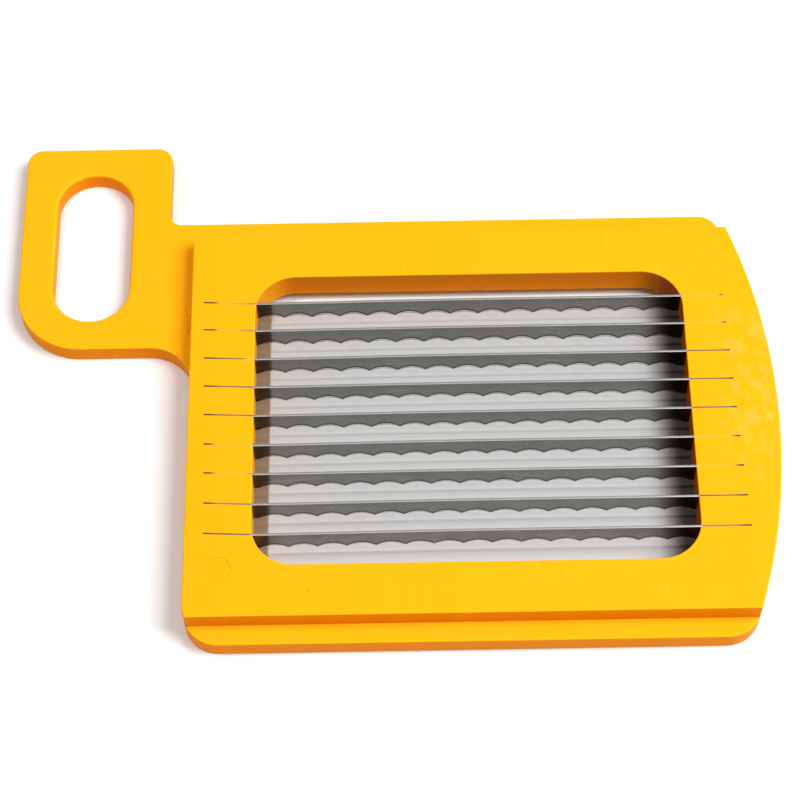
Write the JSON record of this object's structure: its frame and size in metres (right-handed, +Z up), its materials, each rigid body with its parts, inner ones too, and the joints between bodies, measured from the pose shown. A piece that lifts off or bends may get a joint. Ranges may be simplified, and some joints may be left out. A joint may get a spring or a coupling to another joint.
{
  "type": "egg slicer blade cassette",
  "caption": "Flat moulded plastic frame with parallel scalloped steel blades across its window, guide rails and a finger-hole handle.",
  "frame": {"origin": "centre of the cutting window, on the plane that the cassette lies on", "axes": "+X along the blades away from the handle, +Y across the blades towards the handle's end, +Z up out of the front face"},
  "size_m": [0.1409, 0.1061, 0.008],
  "materials": {
    "yellow_plastic": "semi-gloss moulded plastic, warm yellow",
    "blade_steel": "ground strip steel"
  },
  "bodies": {
    "root": {"frame": "yellow_plastic", "blade_1": "blade_steel", "blade_2": "blade_steel", "blade_3": "blade_steel", "blade_4": "blade_steel", "blade_5": "blade_steel", "blade_6": "blade_steel", "blade_7": "blade_steel", "blade_8": "blade_steel", "blade_9": "blade_steel"}
  },
  "joints": []
}
